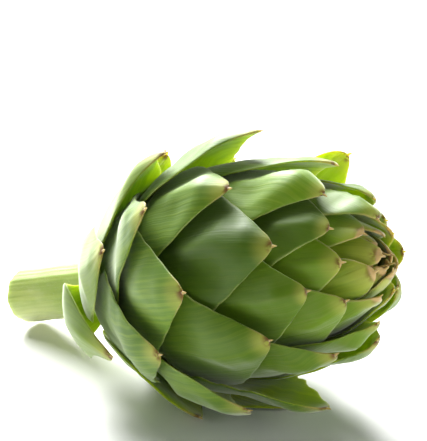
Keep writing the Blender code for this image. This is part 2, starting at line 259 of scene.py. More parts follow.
stem_skin, tree, shader = new_material("stem_skin")
flat_map, streak_map = unrolled(tree, stem_streaks)
streaks = noise(tree, streak_map, scale=1.0, detail=4.0, distortion=0.3)
blotches = noise(tree, object_place(tree), scale=120.0, detail=3.0)
sides = tree.nodes.new("ShaderNodeSeparateXYZ")
tree.links.new(flat_map, sides.inputs["Vector"])
from_under = apart(tree, sides.outputs["X"], 0.5)
# The underside is made paler as painted light thrown up from the floor; the top side is made greener.
painted_bounce_share = less(tree, 1.0, ramp(tree, from_under, 0.05, 0.30))
top_side = times(tree, ramp(tree, from_under, 0.28, 0.5), top_share)
near_head = times(tree, ramp(tree, sides.outputs["Y"], 0.18, 0.50), at_head_share)
colour = mixed(tree, ramp(tree, streaks, 0.32, 0.68), streak_green, streak_pale)
colour = mixed(tree, times(tree, ramp(tree, blotches, 0.4, 0.8), blotch_share), colour, stem_blotch)
colour = mixed(tree, painted_bounce_share, colour, painted_bounce_pale)
colour = mixed(tree, top_side, colour, stem_top)
colour = mixed(tree, near_head, colour, stem_at_head)
from_centre = value_of(tree, "ring")
from_vessels = apart(tree, from_centre, vessel_ring_mm)
bundles = worked_out(tree, "SINE", times(tree, sides.outputs["X"], vessel_count * math.tau))
bundles = less(tree, ramp(tree, bundles, -0.1, 0.6), ramp(tree, from_vessels, 0.3, 1.1))
pith = mixed(tree, ramp(tree, blotches, 0.35, 0.7), pith_cream, pith_white)
pith = mixed(tree, ramp(tree, bundles, 0.0, 1.0), pith, vessel_green)
pith = mixed(tree, ramp(tree, from_centre, *rim_mm), pith, rim_green)
colour = mixed(tree, value_of(tree, "cut"), colour, pith)
tree.links.new(colour, shader.inputs["Base Color"])
add_bump(tree, shader, streaks, *stem_bump)
shader.inputs["Roughness"].default_value = 0.55
shader.inputs["Subsurface Weight"].default_value = 0.6
shader.inputs["Subsurface Radius"].default_value = (1.0, 1.0, 0.35)
shader.inputs["Subsurface Scale"].default_value = 0.006
shader.inputs["Sheen Weight"].default_value = 0.2

profile = [(stem_end + depth, radius) for depth, radius in cut_face + cut_edge]
for ring in range(1, side_rings + 1):
    swollen = stem_radius + ring_swell * math.sin(ring * swell_turn)
    profile.append((stem_end + edge_depth + ring * ring_step, swollen))
for along in np.linspace(heart_start, heart_end, heart_rings):
    profile.append((along, float(through(heart_shape, along))))
profile += [(heart_end, heart_face), (heart_end, pole_radius)]
profile = np.array(profile)
around = np.linspace(0.0, math.tau, stem_columns, endpoint=False)
ring, turn = np.meshgrid(np.arange(len(profile)), around, indexing="ij")
along = profile[ring, 0]
radius = profile[ring, 1]
ribbed = np.clip(-along / rib_fade, 0.0, 1.0) * (radius > ribbed_from)
ribs = sum(size * np.cos(count * turn + shift) for count, shift, size in rib_waves)
radius = radius + rib_height * ribbed * ribs
stem = to_world(along, radius, turn)
stem[..., 1] -= bow_depth * (np.minimum(along, 0.0) / bow_length) ** 2
uvs = np.stack([turn / math.tau, (along + map_start) / map_length], -1).reshape(-1, 2)
values = {
    "cut": ((ring < len(cut_face)) * 1.0).reshape(-1),
    "ring": (radius * 1000.0).reshape(-1),
}
make_piece("stem_skin", stem.reshape(-1, 3), tube_faces(len(profile), stem_columns), uvs, values,
           [stem_skin], "stem_and_heart")

# Down on the stem: short pale hairs that grow out of its skin all round, too short to hang. A node tree
# scatters them over the same ribbed side as the stem's own, each one turned and sized by chance.
down_sizes = (("Length", 0.00040), ("Radius", 0.000022), ("Density", 5.0e6), ("Lean", 0.7))
down_start = -0.0455
down_end = -0.0110
down_thinnest = 0.008
hair_sides = 3
hair_point = 0.000002
shortest_hair = 0.5
scatter_seed = 5
lean_seed = 6
length_seed = 7
down_green = (0.62, 0.66, 0.44)
down_white = (0.82, 0.84, 0.66)
least_down_roughness = 0.55
clump_roughness = 0.2

down_hair, tree, shader = new_material("stem_down_hair")
clumps = noise(tree, object_place(tree), scale=300.0, detail=2.0)
tree.links.new(mixed(tree, clumps, down_green, down_white), shader.inputs["Base Color"])
down_roughness = plus(tree, least_down_roughness, times(tree, clumps, clump_roughness))
tree.links.new(down_roughness, shader.inputs["Roughness"])
shader.inputs["Sheen Weight"].default_value = 0.5

on_side = (profile[:, 0] > down_start) & (profile[:, 0] < down_end) & (profile[:, 1] > down_thinnest)
bare_side = stem[np.flatnonzero(on_side)]
side_points = bare_side.reshape(-1, 3)
side_mesh = bpy.data.meshes.new("stem_side")
side_mesh.from_pydata(side_points.tolist(), [], tube_faces(len(bare_side), stem_columns).tolist())
side_mesh.update()
middle = side_points.mean(axis=0)
outward = sum((np.array(face.center) - middle).dot(np.array(face.normal)) for face in side_mesh.polygons)
if outward < 0:
    side_mesh.flip_normals()
stem_side = bpy.data.objects.new("stem_side", side_mesh)
bpy.context.scene.collection.objects.link(stem_side)

down = bpy.data.node_groups.new("stem_down_tree", "GeometryNodeTree")
down.interface.new_socket("Geometry", in_out="INPUT", socket_type="NodeSocketGeometry")
sockets = {}
for label, value in down_sizes:
    socket = down.interface.new_socket(label, in_out="INPUT", socket_type="NodeSocketFloat")
    sockets[socket.identifier] = value
down.interface.new_socket("Geometry", in_out="OUTPUT", socket_type="NodeSocketGeometry")
tree_in = down.nodes.new("NodeGroupInput")
tree_out = down.nodes.new("NodeGroupOutput")
scatter = down.nodes.new("GeometryNodeDistributePointsOnFaces")
scatter.inputs["Seed"].default_value = scatter_seed
hair = down.nodes.new("GeometryNodeMeshCone")
hair.inputs["Vertices"].default_value = hair_sides
hair.inputs["Radius Top"].default_value = hair_point
leaning = down.nodes.new("FunctionNodeRandomValue")
leaning.data_type = "FLOAT_VECTOR"
leaning.inputs["Seed"].default_value = lean_seed
other_way = down.nodes.new("ShaderNodeMath")
other_way.operation = "MULTIPLY"
other_way.inputs[1].default_value = -1.0
turned = down.nodes.new("FunctionNodeEulerToRotation")
rotated = down.nodes.new("FunctionNodeRotateRotation")
rotated.rotation_space = "LOCAL"
growing = down.nodes.new("FunctionNodeRandomValue")
growing.inputs["Min"].default_value = shortest_hair
growing.inputs["Max"].default_value = 1.0
growing.inputs["Seed"].default_value = length_seed
planted = down.nodes.new("GeometryNodeInstanceOnPoints")
real = down.nodes.new("GeometryNodeRealizeInstances")
painted = down.nodes.new("GeometryNodeSetMaterial")
painted.inputs["Material"].default_value = down_hair
for source, target in (
        (tree_in.outputs["Geometry"], scatter.inputs["Mesh"]),
        (tree_in.outputs["Density"], scatter.inputs["Density"]),
        (tree_in.outputs["Radius"], hair.inputs["Radius Bottom"]),
        (tree_in.outputs["Length"], hair.inputs["Depth"]),
        (tree_in.outputs["Lean"], other_way.inputs[0]),
        (other_way.outputs[0], leaning.inputs["Min"]),
        (tree_in.outputs["Lean"], leaning.inputs["Max"]),
        (leaning.outputs["Value"], turned.inputs["Euler"]),
        (scatter.outputs["Rotation"], rotated.inputs["Rotation"]),
        (turned.outputs["Rotation"], rotated.inputs["Rotate By"]),
        (scatter.outputs["Points"], planted.inputs["Points"]),
        (hair.outputs["Mesh"], planted.inputs["Instance"]),
        (rotated.outputs["Rotation"], planted.inputs["Rotation"]),
        (growing.outputs["Value"], planted.inputs["Scale"]),
        (planted.outputs["Instances"], real.inputs["Geometry"]),
        (real.outputs["Geometry"], painted.inputs["Geometry"]),
        (painted.outputs["Geometry"], tree_out.inputs["Geometry"])):
    down.links.new(source, target)
grower = stem_side.modifiers.new("down", "NODES")
grower.node_group = down
for identifier, value in sockets.items():
    grower[identifier] = value
evaluated = stem_side.evaluated_get(bpy.context.evaluated_depsgraph_get())
down_mesh = bpy.data.meshes.new_from_object(evaluated)
down_mesh.name = "stem_down"
stem_down = bpy.data.objects.new("stem_down", down_mesh)
bpy.context.scene.collection.objects.link(stem_down)
bpy.data.objects.remove(stem_side)
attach(stem_down, "root")

# Bracts: the leaf-like scales, fleshy where they grow from the heart and thin and dry at the tip, each
# with a small brown spine. They grow on one spiral, outermost first, and each lies in its own layer
# under the bracts that grew before it, so a blade is laid out along the head's outline from tip to root.
bract_count = 42
outer_count = 8
blade_count = 54
blade_rows = 36
blade_columns = 28
blade_seed = 7100
drift_seed = 900

# The closed head's outline, walked from the stem to the tip, and the layers under it.
head_shape = ((0.0, 0.013), (0.006, 0.029), (0.016, 0.0356), (0.032, 0.0427), (0.050, 0.048), (0.070, 0.0455),
              (0.089, 0.0385), (0.104, 0.031), (0.117, 0.019), (0.123, 0.0115), (0.127, 0.002))
outline_points = 521
tangent_reach = 12
first_tip = 0.0228
spiral_end = 53.9
spiral_power = 2.5
layer_step = 0.000635

heights = np.linspace(0.0, head_length, outline_points)
rough_outline = np.stack([heights, through(head_shape, heights)], 1)
walked = np.concatenate([[0.0], np.cumsum(np.linalg.norm(np.diff(rough_outline, axis=0), axis=1))])
outline_length = walked[-1]
steps = np.linspace(0.0, outline_length, outline_points)
outline = np.stack([np.interp(steps, walked, rough_outline[:, k]) for k in (0, 1)], 1)
spot = np.arange(outline_points)
last_spot = outline_points - 1
ahead = outline[np.minimum(spot + tangent_reach, last_spot)] - outline[np.maximum(spot - tangent_reach, 0)]
ahead /= np.linalg.norm(ahead, axis=1)[:, None]
normals = np.stack([-ahead[:, 1], ahead[:, 0]], 1)


def on_outline(distance):
    """Points and normals of the outline at distances along it."""
    point = np.stack([np.interp(distance, steps, outline[:, k]) for k in (0, 1)], -1)
    normal = np.stack([np.interp(distance, steps, normals[:, k]) for k in (0, 1)], -1)
    return point, normal


def layer_point(number, distance, inset):
    """Points of the layer of one bract, and the outline's normals there."""
    point, normal = on_outline(distance)
    share = np.clip((head_length - point[..., 0]) / (head_length - first_tip), 0.0, None)
    above = spiral_end * (1.0 - share ** (1.0 / spiral_power))
    depth = layer_step * np.clip(number - above, 0.0, None) + inset
    return point - normal * depth[..., None], normal


def heart_distance(point):
    """Distance from the heart's surface, negative inside it."""
    corners = np.array(list(heart_shape) + [(heart_end, 0.0)])
    start, edge = corners[:-1], np.diff(corners, axis=0)
    share = np.clip(((point - start) * edge).sum(1) / (edge ** 2).sum(1), 0.0, 1.0)
    nearest = np.linalg.norm(point - start - edge * share[:, None], axis=1).min()
    inside = heart_start < point[0] < heart_end and point[1] < through(heart_shape, point[0])
    return -nearest if inside else nearest


# Where each blade starts and ends and how wide it is. The spiral gives this, and single bracts have small
# corrections of their own. Blades keep a gap, so that no two touch.
first_turn = 103.1
spiral_turn = 137.508
widths = ((0, 0.0145), (4, 0.0212), (9, 0.0265), (20, 0.027), (30, 0.022), (41, 0.0145), (54, 0.0075))
root_thickness = 0.0020
gap = 0.00035
search_step = 0.0004
tip_scatter = 0.001
turn_scatter = 1.5
width_scatter = (0.97, 1.03)
last_tip = head_length - 0.0002
tip_shift = {1: 0.0045, 4: 0.0032, 7: 0.0030, 9: 0.0023, 10: -0.0160, 12: -0.0078, 14: 0.0015, 15: 0.0010,
             17: -0.0080, 18: -0.0040, 19: 0.0, 20: -0.0075, 22: -0.0015, 23: 0.0020, 24: 0.0030,
             28: 0.0015, 29: 0.0027, 30: -0.0014, 35: -0.0007, 36: 0.0026, 38: -0.0013}
extra_turn = {1: 10.5, 4: 6.9, 9: -3.9, 14: -5.0, 17: -0.7, 18: -2.4, 20: -3.0, 22: -1.5, 25: -1.2, 28: -5.0,
              35: 6.5}
narrowed = {1: 0.78, 4: 0.82, 10: 0.80, 12: 0.90, 16: 0.85, 18: 0.74, 20: 0.92, 24: 0.85, 29: 0.88}


def blade_sizes(number):
    """Start and end along the outline, turn, half width and the blade's own chances."""
    chance = random.Random(blade_seed + number)
    share = max(1.0 - number / spiral_end, 0.0)
    tip = head_length - (head_length - first_tip) * share ** spiral_power
    tip += tip_shift.get(number, chance.uniform(-tip_scatter, tip_scatter))
    tip = min(tip, last_tip)
    own_turn = extra_turn.get(number, chance.uniform(-turn_scatter, turn_scatter))
    turn = first_turn + spiral_turn * number + own_turn
    width = float(through(widths, number)) * chance.uniform(*width_scatter) * narrowed.get(number, 1.0)
    end = float(steps[min(np.searchsorted(outline[:, 0], tip), last_spot)])
    start = end
    while start > 0.0:
        point, _ = layer_point(number, np.array(start), root_thickness / 2)
        if heart_distance(point) < root_thickness / 2 + gap:
            break
        start -= search_step
    return start + search_step, end, math.radians(turn), width, chance


# The blade's own outline: nearly straight sides to a small shoulder, and the spine at the tip.
taper_by_width = 1.36
taper_by_length = 0.62
straight_share = 0.76
round_share = 0.24
shoulder = 0.0011
shoulder_length = 0.0022
root_narrowing = 0.45
root_curve = 1.4
spine_length = 0.0016
spine_base = 0.3 * spine_length
spine_point = 0.00010
spine_widening = 0.00045
spine_curve = 0.8
turn_length = 0.016
side_turn = {1: 16.0, 4: -6.0, 7: -6.0, 12: -5.5, 15: -6.0, 18: 9.0, 20: -3.5, 23: -6.0, 24: -5.0, 29: -4.0}


def half_width(from_tip, length, width):
    """Half width of a blade at distances from its tip."""
    taper = min(taper_by_width * width, taper_by_length * length)
    share = (from_tip - spine_base) / (taper - spine_base)
    near = width * (straight_share * share + round_share * np.sin(np.clip(share, 0, 1) * math.pi / 2))
    rounding = np.clip((from_tip - spine_length) / shoulder_length, 0.0, 1.0)
    near = near + shoulder * (1 - share) * rounding * (2.0 - rounding)
    back = np.clip((from_tip - taper) / max(length - taper, 1e-6), 0.0, 1.0)
    far = width * (1.0 - root_narrowing * back ** root_curve)
    spine = spine_point + spine_widening * np.clip(from_tip / spine_length, 0.0, 1.0) ** spine_curve
    return np.where(from_tip < spine_length, spine, np.where(from_tip < taper, near, far))


def side_lean(number, from_tip):
    """Angle by which a blade's middle lies to one side of its tip."""
    ease = np.clip(from_tip / turn_length, 0.0, 1.0)
    return math.radians(side_turn.get(number, 0.0)) * ease * ease * (3.0 - 2.0 * ease)


# How far each blade stands out of its layer towards the tip. Most lie closed, the outer ones open a
# little, and none opens further than the blades over it leave room for.
lift_points = 261
hinge = 0.4
outer_lift_range = (0.002, 0.005)
inner_lift_range = (0.0004, 0.0016)
last_loose = 19
neighbours_over = ((3, 0.0), (5, 0.0007), (8, 0.0016))
usual_slope = 0.30
slope_start = 0.21
steeper = {18: 0.60, 19: 0.45}
tip_lift = {1: 0.0010, 3: 0.0, 4: 0.0016, 6: 0.0028, 7: 0.0030, 9: 0.0042, 10: 0.0008, 11: 0.0058, 12: 0.0077,
            14: 0.0098, 15: 0.0072, 17: 0.0078, 18: 0.0130, 19: 0.0135, 20: 0.0026, 22: 0.0022, 23: 0.0028,
            24: 0.0019, 26: 0.0020, 27: 0.0042, 29: 0.0004, 31: 0.0024, 34: 0.0030, 36: 0.0022}

lift_spots = np.linspace(0.0, outline_length, lift_points)
lifts = []
sizes = []
for number in range(blade_count):
    sizes.append(blade_sizes(number))
    start, end, _, _, chance = sizes[number]
    lift_range = inner_lift_range if number > last_loose else outer_lift_range
    usual_lift = chance.uniform(*lift_range)
    opening = np.clip(((lift_spots - start) / (end - start) - hinge) / (1.0 - hinge), 0.0, 1.0)
    lift = tip_lift.get(number, usual_lift) * opening ** 2
    slope = steeper.get(number, usual_slope)
    for step, room in neighbours_over:
        if number >= step:
            outer_lift, outer_end = lifts[number - step]
            outer_radius = on_outline(np.array(outer_end))[0][1]
            clear_of_it = np.clip(lift_spots - outer_end + slope_start * outer_radius, 0, None)
            lift = np.minimum(lift, outer_lift + room + slope * clear_of_it)
    lifts.append((lift, end))


# How far a blade lies bare of the ones over it, which sets where it may swell.
blades_over = 21
widest_angle = math.radians(38.0)
cover_edge = 0.0022
cover_fade = 0.0150


def bare_share(number, distance, turn):
    """How clear spots of one blade are of the blades over it: 0 under them, 1 well away from them."""
    radius = on_outline(distance)[0][..., 1]
    clear = np.full(distance.shape, 1.0)
    for other in range(max(number - blades_over, 0), number):
        start, end, middle, width, _ = sizes[other]
        along = np.maximum(distance - end, 0.0)
        aside = turn - middle - side_lean(other, end - distance)
        across = np.abs((aside + math.pi) % math.tau - math.pi) * radius
        covering = np.minimum(half_width(end - distance, end - start, width), widest_angle * radius)
        across = np.where(along == 0.0, across - covering, across)
        clear = np.minimum(clear, np.hypot(along, np.maximum(across, 0.0)))
    share = np.clip((clear - cover_edge) / cover_fade, 0.0, 1.0)
    return share * share * (3.0 - 2.0 * share)


# The blade's thickness, its dome and midrib, the low ripples and wavy edges, how dry each one is, and how
# deep green: partly a bract's own tone, partly painted shade where less light falls, as on bracts 25, 31 and
# 36.
row_crowding = 1.55
column_crowding = 0.86
spine_end = 1.02 * spine_length
spine_rows = (0.0, 0.10, 0.28, 0.5, 0.72, 0.88, 0.98)
spine_thickening = 0.00035
middle_thickness = 0.0017
tip_thickness = 0.0013
thinner_sides = 0.55
rim_share = 0.10
edge_thickness = 0.22
end_thickness = 0.6
end_length = 0.0012
floor_clearance = 0.00001
fade_length = 0.010
domes = ((0, 0.0016), (12, 0.0024), (20, 0.0036), (30, 0.0048), (41, 0.0038), (54, 0.0014))
flattened = {3: 0.3, 6: 0.3, 11: 0.2, 18: 0.3, 23: 0.3}
bulges = {1: 0.0050, 4: 0.0014}
midrib_height = 0.00030
midrib_share = 0.13
sway_height = 0.00025
most_lean = 0.0005
curl_height = 0.00035
curl_start = 0.70
ripple_count = 4
ripple_height = 0.00018
ripple_rest = 0.25
ripple_turn = 6.3
ripples_along = (120, 260)
ripples_across = (1.5, 3.5)
usual_fray = 0.022
frayed = {19: 0.11, 9: 0.06, 18: 0.05}
fray_waves = 820.0
other_edge = 1.9
dry_tips = ((0, 1.0), (24, 1.0), (31, 1.4), (36, 1.1), (41, 0.80), (54, 0.50))
dry_spot = 0.0008
usual_tone = 0.35
# Share of deep green for listed bracts: partly their own tone, partly painted shade where less light falls,
# on bracts 25, 31 and 36.
tone_and_painted_shade = {20: 0.2, 22: 0.55, 25: 1.0, 27: 0.35, 28: 0.0, 30: 0.65, 31: 0.70, 33: 0.9, 36: 0.60, 38: 0.3}
blade_map_width = 0.06
blade_map_length = 0.14


def blade(number, rows, columns, sink=0.0):
    """Vertices, faces, corner UVs and point values of one bract's closed blade."""
    start, end, turn, width, chance = blade_sizes(number)
    length = end - start
    wave = chance.uniform(0.0, math.tau)
    lean = chance.uniform(-most_lean, most_lean)
    drift = np.random.default_rng(drift_seed + number)
    on_spine = np.array(spine_rows) * spine_length
    on_blade = spine_end + (length - spine_end) * (np.arange(rows) / (rows - 1.0)) ** row_crowding
    quarter = math.pi / 2 * column_crowding
    across = np.sin(np.linspace(-1.0, 1.0, columns + 1) * quarter) / math.sin(quarter)
    from_tip, aside = np.meshgrid(np.concatenate([on_spine, on_blade]), across, indexing="ij")
    is_spine = from_tip < spine_length
    grown = 1.0 - from_tip / length
    distance = end - from_tip
    full = through(((0.0, root_thickness), (0.5, middle_thickness), (1.0, tip_thickness)), grown)
    point, normal = layer_point(number, distance, full / 2)

    wide = half_width(from_tip, length, width)
    fade = np.clip((from_tip - spine_length) / fade_length, 0.0, 1.0)
    side = np.where(aside < 0.0, 0.0, other_edge)
    notches = 0.5 + 0.5 * np.sin(3.0 * wave + side + fray_waves * from_tip)
    fray = frayed.get(number, usual_fray) * notches * fade
    half_angle = np.minimum(wide / np.maximum(point[..., 1], 0.001), widest_angle)
    angle = side_lean(number, from_tip) + half_angle * aside * (1.0 - fray)

    shown = bare_share(number, distance, turn + angle) * fade
    raised = np.interp(distance, lift_spots, lifts[number][0])
    raised += bulges.get(number, 0.0) * np.sin(grown * math.pi) ** 2 - sink * (1.0 - grown) ** 2
    dome = float(through(domes, number)) * flattened.get(number, 1.0)
    raised += dome * (1.0 - aside * aside) * shown
    raised += midrib_height * np.exp(-(aside / midrib_share) ** 2) * shown
    raised += sway_height * np.sin(wave + 5.0 * grown) * aside * aside * shown + lean * aside * shown
    raised += curl_height * np.clip((np.abs(aside) - curl_start) / (1.0 - curl_start), 0, 1) ** 2 * shown
    for _ in range(ripple_count):
        first, along_share, second, across_share = drift.uniform(0, 1, 4)
        waves_along = ripples_along[0] + ripples_along[1] * along_share
        waves_across = ripples_across[0] + ripples_across[1] * across_share
        along_ripple = np.sin(first * ripple_turn + from_tip * waves_along)
        across_ripple = np.sin(second * ripple_turn + aside * waves_across)
        raised += ripple_height * shown * (along_ripple * across_ripple - ripple_rest)

    point = point + normal * raised[..., None]
    middle_face = to_world(point[..., 0], point[..., 1], turn + angle)
    out = np.cross(np.gradient(middle_face, axis=1), np.gradient(middle_face, axis=0))
    out /= np.maximum(np.linalg.norm(out, axis=2), 1e-12)[..., None]
    if (out * (middle_face - head_middle)).sum() < 0:
        out = -out
    past_rim = np.clip(np.abs(aside) - (1.0 - rim_share), 0, None) / rim_share
    rim = np.sqrt(np.clip(1.0 - past_rim ** 2, 0.0, 1.0))
    thickness = full * (1.0 - thinner_sides * aside * aside) * (edge_thickness + (1.0 - edge_thickness) * rim)
    past_spine = np.clip((from_tip - spine_length) / end_length, 0.0, 1.0)
    thickness *= end_thickness + (1.0 - end_thickness) * past_spine
    spine_radius = spine_point + spine_thickening * np.clip(from_tip / spine_length, 0.0, 1.0) ** spine_curve
    spine_thickness = 2 * spine_radius * np.sqrt(np.clip(1.0 - aside * aside, 0.01, 1.0))
    half = out * (np.where(is_spine, spine_thickness, thickness) / 2)[..., None]
    front = (middle_face + half).reshape(-1, 3)
    back = (middle_face - half).reshape(-1, 3)
    vertices = np.concatenate([front, back])
    vertices[:, 2] = np.maximum(vertices[:, 2], floor_clearance)

    count = from_tip.size
    index = np.arange(count).reshape(from_tip.shape)
    front_faces = np.stack([index[:-1, :-1], index[:-1, 1:], index[1:, 1:], index[1:, :-1]], -1)
    front_faces = front_faces.reshape(-1, 4)
    back_faces = front_faces[:, ::-1] + count
    ring = np.concatenate([index[0, :], index[1:, -1], index[-1, -2::-1], index[-2:0:-1, 0]])
    following = np.roll(ring, -1)
    rim_faces = np.stack([ring, ring + count, following + count, following], -1)
    faces = np.concatenate([front_faces, back_faces, rim_faces])
    uv = np.stack([0.5 + aside * wide / blade_map_width, 1.0 - from_tip / blade_map_length], -1)
    uv = uv.reshape(-1, 2)
    # The blade's share of deep green: its own tone, and painted shade on the bracts listed for it.
    own_tone = tone_and_painted_shade.get(number, usual_tone * drift.uniform(0.0, 1.0))
    dryness = 100.0 * float(through(dry_tips, number))
    to_dry_spot = np.hypot(from_tip - dry_spot, aside * wide)
    values = {
        "inside": np.concatenate([np.zeros(count), np.ones(count)]),
        "tone": np.full(2 * count, own_tone),
        "age": np.full(2 * count, number / blade_count),
        "edge": np.tile((np.abs(aside) * np.where(is_spine, 0.0, 1.0)).reshape(-1), 2),
        "from_tip": np.tile(from_tip.reshape(-1) * 100.0, 2),
        "tip_near": np.tile(to_dry_spot.reshape(-1), 2) * dryness,
    }
    return vertices, faces, np.concatenate([uv, uv]), values


# The bracts' skin: fine lengthwise veins with a waxy bloom between them, a paler edge, and a tip that
# has dried yellow, tan and brown. One node group serves the bracts and the bud with their own greens.
vein_green = (0.22, 0.35, 0.010)
fine_vein_green = (0.27, 0.39, 0.030)
bloom_grey = (0.34, 0.44, 0.24)
# Deep green laid over bracts by their share: their own darker tone, and painted shade on bracts 25, 31 and
# 36.
deep_green_and_painted_shade = (0.046, 0.105, 0.0005)
margin_cream = (0.48, 0.52, 0.17)
lime_green = (0.30, 0.40, 0.008)
lime_pale = (0.40, 0.50, 0.018)
tip_yellow = (0.50, 0.50, 0.085)
rim_tan = (0.46, 0.37, 0.12)
dry_rust = (0.17, 0.062, 0.013)
spine_straw = (0.60, 0.42, 0.16)
sheen_green = (0.94, 1.0, 0.84)
outer_glow = (0.32, (0.9, 1.0, 0.25), 0.0024)
inner_glow = (0.85, (0.90, 0.95, 0.10), 0.0042)
vein_share = 0.62
fine_vein_share = 0.40
deep_green_and_shade_share = 0.80
margin_share = 0.50
young_margin_share = 0.6
tan_share = 0.7
rust_share = 0.95
least_yellow = 0.25
blotched_yellow = 0.8
shorter_straw = 0.55
pattern_step = 40.0
least_roughness = 0.42
blotch_roughness = 0.22
vein_height = 0.7
fine_vein_height = 0.30
speck_height = 0.10
bract_streaks = (48.0, 2.4, 1.0)
bract_bump = (0.50, 0.0004)

skin = bpy.data.node_groups.new("bract_pattern", "ShaderNodeTree")
for label, kind in (("Colour", "Color"), ("Roughness", "Float"), ("Height", "Float")):
    skin.interface.new_socket(label, in_out="OUTPUT", socket_type="NodeSocket" + kind)
for label, kind in (("Young", "Color"), ("Old", "Color"), ("Bloom", "Float")):
    skin.interface.new_socket(label, in_out="INPUT", socket_type="NodeSocket" + kind)
group_in = skin.nodes.new("NodeGroupInput")
group_out = skin.nodes.new("NodeGroupOutput")
age = value_of(skin, "age")
tone = value_of(skin, "tone")
edge = value_of(skin, "edge")
inside = value_of(skin, "inside")
from_tip = value_of(skin, "from_tip")
tip_near = value_of(skin, "tip_near")
place = object_place(skin)
_, streak_map = unrolled(skin, bract_streaks)
other_pattern = skin.nodes.new("ShaderNodeCombineXYZ")
skin.links.new(times(skin, tone, pattern_step), other_pattern.inputs["Z"])
moved = skin.nodes.new("ShaderNodeVectorMath")
skin.links.new(streak_map, moved.inputs[0])
skin.links.new(other_pattern.outputs["Vector"], moved.inputs[1])
veins = noise(skin, moved.outputs["Vector"], scale=1.0, detail=3.0, distortion=0.25)
fine_veins = noise(skin, moved.outputs["Vector"], scale=3.1, detail=2.0, distortion=0.1)
blotches = noise(skin, place, scale=90.0, detail=3.0)
specks = noise(skin, place, scale=1500.0, detail=2.0)

green = mixed(skin, ramp(skin, age, 0.15, 0.95), group_in.outputs["Old"], group_in.outputs["Young"])
green = mixed(skin, times(skin, ramp(skin, veins, 0.42, 0.66), vein_share), green, vein_green)
green = mixed(skin, times(skin, ramp(skin, fine_veins, 0.52, 0.66), fine_vein_share), green, fine_vein_green)
bloom = times(skin, ramp(skin, blotches, 0.30, 0.72), group_in.outputs["Bloom"])
bloom = times(skin, bloom, ramp(skin, from_tip, 0.1, 1.4))
green = mixed(skin, bloom, green, bloom_grey)
# Darkens each blade by its share of deep green: partly its own tone, partly painted shade where less light
# falls.
green = mixed(skin, times(skin, tone, deep_green_and_shade_share), green, deep_green_and_painted_shade)
blotched = times(skin, ramp(skin, blotches, 0.35, 0.65), margin_share)
margin = times(skin, ramp(skin, edge, 0.95, 1.0), blotched)
youth = times(skin, ramp(skin, age, 0.55, 0.72), young_margin_share)
young_margin = times(skin, ramp(skin, edge, 0.88, 1.0), youth)
green = mixed(skin, plus(skin, margin, young_margin), green, margin_cream)
lime = mixed(skin, ramp(skin, veins, 0.3, 0.7), lime_green, lime_pale)
green = mixed(skin, inside, green, lime)

yellowed = less(skin, 1.0, ramp(skin, tip_near, 0.20, 0.95))
yellowed = times(skin, yellowed, plus(skin, least_yellow, times(skin, blotches, blotched_yellow)))
green = mixed(skin, yellowed, green, tip_yellow)
tanned = times(skin, ramp(skin, edge, 0.86, 0.97), less(skin, 1.0, ramp(skin, tip_near, 0.35, 1.0)))
green = mixed(skin, times(skin, tanned, tan_share), green, rim_tan)
ragged = ramp(skin, noise(skin, place, scale=520.0, detail=2.0), 0.36, 0.54)
rusty = times(skin, less(skin, 1.0, ramp(skin, tip_near, 0.12, 0.36)), ragged)
green = mixed(skin, times(skin, rusty, rust_share), green, dry_rust)
straw_reach = less(skin, 1.0, times(skin, ramp(skin, age, 0.64, 0.76), shorter_straw))
straw = less(skin, 1.0, ramp(skin, times(skin, from_tip, straw_reach), 0.12, 0.17))
green = mixed(skin, straw, green, spine_straw)
skin.links.new(green, group_out.inputs["Colour"])
roughness = plus(skin, least_roughness, times(skin, blotches, blotch_roughness))
skin.links.new(roughness, group_out.inputs["Roughness"])
height = plus(skin, times(skin, veins, vein_height), times(skin, fine_veins, fine_vein_height))
height = plus(skin, height, times(skin, specks, speck_height))
skin.links.new(height, group_out.inputs["Height"])


def bract_material(name, young, old, bloom_share, glow):
    """A bract's skin in its own greens, with light that passes into the flesh."""
    material, tree, shader = new_material(name)
    group = tree.nodes.new("ShaderNodeGroup")
    group.node_tree = skin
    group.inputs["Young"].default_value = (*young, 1.0)
    group.inputs["Old"].default_value = (*old, 1.0)
    group.inputs["Bloom"].default_value = bloom_share
    tree.links.new(group.outputs["Colour"], shader.inputs["Base Color"])
    tree.links.new(group.outputs["Roughness"], shader.inputs["Roughness"])
    add_bump(tree, shader, group.outputs["Height"], *bract_bump)
    glow_share, glow_colours, glow_depth = glow
    shader.inputs["Subsurface Weight"].default_value = glow_share
    shader.inputs["Subsurface Radius"].default_value = glow_colours
    shader.inputs["Subsurface Scale"].default_value = glow_depth
    shader.inputs["Specular IOR Level"].default_value = 0.36
    shader.inputs["Sheen Weight"].default_value = 0.80
    shader.inputs["Sheen Roughness"].default_value = 0.34
    shader.inputs["Sheen Tint"].default_value = (*sheen_green, 1.0)
    return material


outer_skin = bract_material("outer_bract_skin", young=(0.165, 0.280, 0.010), old=(0.175, 0.275, 0.016),
                            bloom_share=0.34, glow=outer_glow)
bract_skin = bract_material("bract_skin", young=(0.240, 0.420, 0.001), old=(0.098, 0.215, 0.001),
                            bloom_share=0.08, glow=outer_glow)
inner_face = bract_material("bract_inner_face", young=(0.225, 0.310, 0.010), old=(0.110, 0.205, 0.006),
                            bloom_share=0.0, glow=inner_glow)
for number in range(bract_count):
    is_outer = number < outer_count
    vertices, faces, uvs, values = blade(number, blade_rows, blade_columns)
    make_piece("bract_%02d_skin" % number, vertices, faces, uvs, values,
               [outer_skin if is_outer else bract_skin, inner_face],
               "bract_%02d" % number)

# Bud: the innermost bracts, still closed over each other and over the fleshy core that they grow from.
# They are the palest and the youngest, with the driest tips, and are fused with the core in one piece.
bud_rows = 24
bud_columns = 16
bud_sink = 0.0035
core_start = 0.030
core_top = head_length - 0.0016
core_layer = 46.0
core_deepening = 7.0
core_inset = 0.0009
core_rings = 40
core_columns = 64
core_clearance = 0.002
core_thinnest = 0.0015
core_step = 0.0012
core_point = 0.0004

